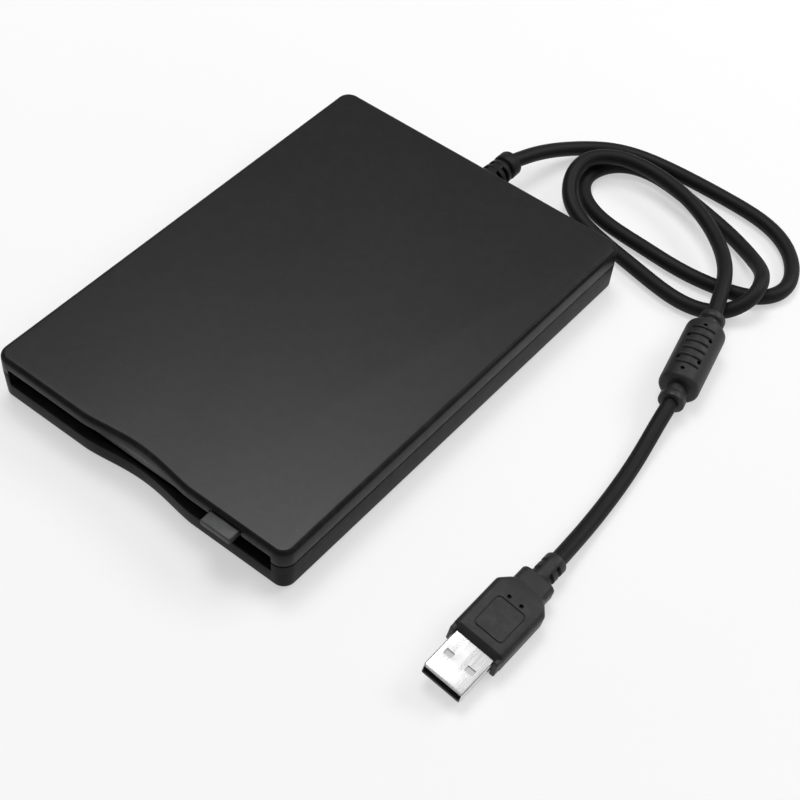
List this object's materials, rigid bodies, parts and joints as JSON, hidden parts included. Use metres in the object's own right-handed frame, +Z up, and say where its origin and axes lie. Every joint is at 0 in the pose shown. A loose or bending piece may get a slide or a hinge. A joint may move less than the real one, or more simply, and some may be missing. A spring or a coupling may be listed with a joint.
{
  "type": "external floppy disk drive",
  "caption": "Slim black external drive for 3.5-inch floppy disks, with a coiled USB cord, moulded bead and plug.",
  "frame": {"origin": "on the floor below the middle of the drive with its eject button, cord left out", "axes": "+X to the right seen from the front, +Y from the front to the back where the cord leaves, +Z up"},
  "size_m": [0.1565, 0.1998, 0.016],
  "materials": {
    "case_plastic": "moulded black plastic with a fine satin grain",
    "foot_rubber": "soft dark rubber",
    "zinc_steel": "zinc plated steel",
    "flap_plastic": "moulded dark plastic",
    "spring_steel": "drawn spring wire",
    "sheet_steel": "pressed galvanised sheet",
    "ground_steel": "ground bright steel",
    "button_plastic": "grey moulded plastic",
    "ferrite": "sintered dark ferrite",
    "bronze": "sintered bronze",
    "copper": "enamelled copper winding",
    "board_green": "glass fibre board with solder mask",
    "carriage_plastic": "glass filled dark plastic",
    "head_ceramic": "pale ceramic",
    "chip_black": "moulded chip resin",
    "ribbon_white": "white film cable",
    "lead_red": "insulated wire",
    "cord_vinyl": "soft black vinyl jacket",
    "bead_vinyl": "moulded black vinyl",
    "plug_vinyl": "moulded black vinyl",
    "plug_steel": "bright nickel plated steel",
    "tongue_plastic": "white moulded insulator",
    "contact_gold": "gold plated contact"
  },
  "bodies": {
    "case": {"top_cover": "case_plastic", "bottom_shell": "case_plastic", "rubber_feet": "foot_rubber", "case_screws": "zinc_steel", "flap_spring": "spring_steel", "chassis_frame": "sheet_steel", "eject_springs": "spring_steel", "spindle_bearing": "bronze", "stator_core": "ferrite", "stator_coils": "copper", "motor_board": "board_green", "guide_rod": "ground_steel", "screw_bearing": "bronze", "stepper_bracket": "sheet_steel", "stepper_motor": "zinc_steel", "main_board": "board_green", "board_chips": "chip_black", "usb_board": "board_green", "usb_chips": "chip_black", "ribbon_cable": "ribbon_white", "sensor_switches": "chip_black", "inner_leads": "lead_red", "strain_relief": "cord_vinyl", "usb_cord": "cord_vinyl", "ferrite_bead": "bead_vinyl", "ferrite_core": "ferrite", "plug_lead": "cord_vinyl", "plug_overmould": "plug_vinyl", "plug_shell": "plug_steel", "plug_tongue": "tongue_plastic", "plug_contacts": "contact_gold"},
    "flap": {"dust_flap": "flap_plastic"},
    "slide": {"eject_slide": "sheet_steel", "eject_button": "button_plastic"},
    "cage": {"disk_cage": "sheet_steel", "cage_pins": "ground_steel", "latch_pivot": "ground_steel"},
    "latch": {"latch_lever": "sheet_steel"},
    "spindle": {"spindle_rotor": "sheet_steel", "rotor_magnet": "ferrite", "spindle_hub": "sheet_steel", "drive_pin": "ground_steel", "spindle_shaft": "ground_steel"},
    "carriage": {"head_carriage": "carriage_plastic", "lower_head": "head_ceramic", "arm_pin": "ground_steel", "follower_pin": "ground_steel"},
    "arm": {"upper_head_arm": "carriage_plastic", "upper_head": "head_ceramic"},
    "screw": {"lead_screw": "ground_steel"},
    "plungers": {"switch_plungers": "head_ceramic"}
  },
  "joints": [
    {"name": "flap_hinge", "type": "hinge", "parent": "case", "child": "flap", "pos_m": [-0.01, -0.0663, 0.01335], "axis": [1, 0, 0], "range_deg": [0, 78], "stiffness_Nm_per_rad": 0.0004, "deforming": ["flap_spring"]},
    {"name": "eject_press", "type": "slide", "parent": "case", "child": "slide", "axis": [0, -1, 0], "range_m": [-0.0005, 0.0045], "deforming": ["eject_springs"]},
    {"name": "cage_lift", "type": "slide", "parent": "case", "child": "cage", "axis": [0, 0, 1], "range_m": [-0.0021, 0.0003]},
    {"name": "latch_turn", "type": "hinge", "parent": "cage", "child": "latch", "pos_m": [-0.034, 0.0259, 0.0128], "axis": [0, 0, 1], "range_deg": [0, 50], "stiffness_Nm_per_rad": 0.002},
    {"name": "spindle_turn", "type": "hinge", "parent": "case", "child": "spindle", "pos_m": [0, -0.0161, 0.005], "axis": [0, 0, 1], "continuous": true},
    {"name": "head_step", "type": "slide", "parent": "case", "child": "carriage", "axis": [0, -1, 0], "range_m": [0, 0.0148]},
    {"name": "arm_lower", "type": "hinge", "parent": "carriage", "child": "arm", "pos_m": [0, 0.0549, 0.0122], "axis": [1, 0, 0], "range_deg": [-0.9, 7.1]},
    {"name": "screw_turn", "type": "hinge", "parent": "case", "child": "screw", "pos_m": [0.015, 0.0429, 0.0084], "axis": [0, 1, 0], "range_deg": [-5, 1785]},
    {"name": "switch_press", "type": "slide", "parent": "case", "child": "plungers", "axis": [0, 0, -1], "range_m": [0, 0.0009], "stiffness_N_per_m": 100, "springref_m": -0.001}
  ],
  "couplings": [
    {"joint": "cage_lift", "follows": "eject_press", "ratio": -0.44444},
    {"joint": "arm_lower", "follows": "eject_press", "rad_per_m": 26.8},
    {"joint": "screw_turn", "follows": "head_step", "rad_per_m": 2094.4}
  ]
}
